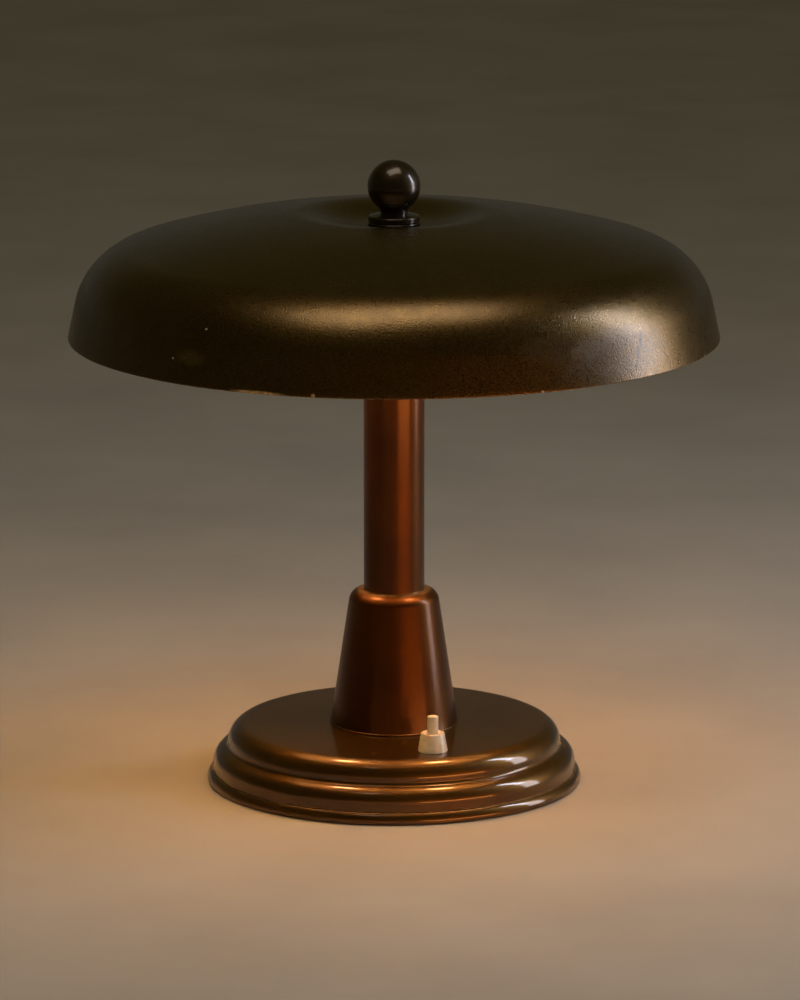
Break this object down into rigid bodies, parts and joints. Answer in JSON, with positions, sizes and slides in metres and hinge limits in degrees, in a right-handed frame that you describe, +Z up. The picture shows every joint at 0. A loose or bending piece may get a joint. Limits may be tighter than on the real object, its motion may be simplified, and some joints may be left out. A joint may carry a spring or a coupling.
{
  "type": "table lamp",
  "caption": "Table lamp with a wide spun dome shade under a ball finial, a tube stem with a cone collar, a stepped weighted base and a push-button switch.",
  "frame": {"origin": "centre of the felt face that the lamp stands on", "axes": "+Z up along the stem, -Y towards the front where the switch is, +X to the right"},
  "size_m": [0.38, 0.38, 0.3693],
  "materials": {
    "dark_patina": "spun brass with a dark olive-brown patina, satin",
    "brown_patina": "spun brass with a warm brown patina, semi-gloss",
    "bare_brass": "plain turned brass, slightly dulled",
    "steel": "plain zinc-dull steel",
    "cast_iron": "rough sand-cast iron",
    "ivory_plastic": "aged ivory moulded plastic, soft gloss",
    "bakelite": "dark brown moulded phenolic",
    "felt": "pressed wool felt",
    "porcelain": "white glazed porcelain",
    "frosted_glass": "frosted glass, lit from inside with a warm glow"
  },
  "bodies": {
    "lamp_frame": {"base_shell": "brown_patina", "foot_ring": "brown_patina", "cone_collar": "brown_patina", "stem_tube": "brown_patina", "cluster_body": "brown_patina", "cluster_lid": "brown_patina", "stem_plug": "bare_brass", "bush_nut": "bare_brass", "shade_nut": "bare_brass", "shade_washer": "bare_brass", "switch_bush": "bare_brass", "switch_locknut": "bare_brass", "switch_contacts": "bare_brass", "switch_terminals": "bare_brass", "left_holder_nipple": "bare_brass", "left_holder_cap": "bare_brass", "left_holder_shell": "bare_brass", "left_holder_sleeve": "bare_brass", "left_holder_contact": "bare_brass", "left_holder_screws": "bare_brass", "right_holder_nipple": "bare_brass", "right_holder_cap": "bare_brass", "right_holder_shell": "bare_brass", "right_holder_sleeve": "bare_brass", "right_holder_contact": "bare_brass", "right_holder_screws": "bare_brass", "bottom_plate": "steel", "plate_screws": "steel", "stem_rod": "steel", "rod_washer": "steel", "rod_nut": "steel", "shade_rod": "steel", "switch_spring": "steel", "ballast_weight": "cast_iron", "switch_bezel": "ivory_plastic", "cord_bush": "bakelite", "switch_housing": "bakelite", "switch_base": "bakelite", "felt_pad": "felt", "left_holder_core": "porcelain", "right_holder_core": "porcelain"},
    "button": {"switch_button": "ivory_plastic", "switch_bridge": "bare_brass"},
    "shade": {"shade": "dark_patina"},
    "finial": {"finial_collar": "dark_patina", "finial_ball": "dark_patina"},
    "left_bulb": {"left_bulb_glass": "frosted_glass", "left_bulb_cap": "bare_brass", "left_bulb_insulator": "bakelite", "left_bulb_contact": "bare_brass"},
    "right_bulb": {"right_bulb_glass": "frosted_glass", "right_bulb_cap": "bare_brass", "right_bulb_insulator": "bakelite", "right_bulb_contact": "bare_brass"}
  },
  "joints": [
    {"name": "button_press", "type": "slide", "parent": "lamp_frame", "child": "button", "axis": [0, 0, -1], "range_m": [0, 0.003], "stiffness_N_per_m": 500, "deforming": ["switch_spring"]},
    {"name": "finial_turn", "type": "hinge", "parent": "lamp_frame", "child": "finial", "pos_m": [0, 0, 0.3445], "axis": [0, 0, 1], "continuous": true},
    {"name": "shade_turn", "type": "hinge", "parent": "lamp_frame", "child": "shade", "pos_m": [0, 0, 0.3312], "axis": [0, 0, 1], "continuous": true},
    {"name": "left_bulb_turn", "type": "hinge", "parent": "lamp_frame", "child": "left_bulb", "pos_m": [-0.04891, 0.0104, 0.2901], "axis": [-0.9781, 0.2079, 0], "continuous": true},
    {"name": "right_bulb_turn", "type": "hinge", "parent": "lamp_frame", "child": "right_bulb", "pos_m": [0.04891, -0.0104, 0.2901], "axis": [0.9781, -0.2079, 0], "continuous": true}
  ]
}
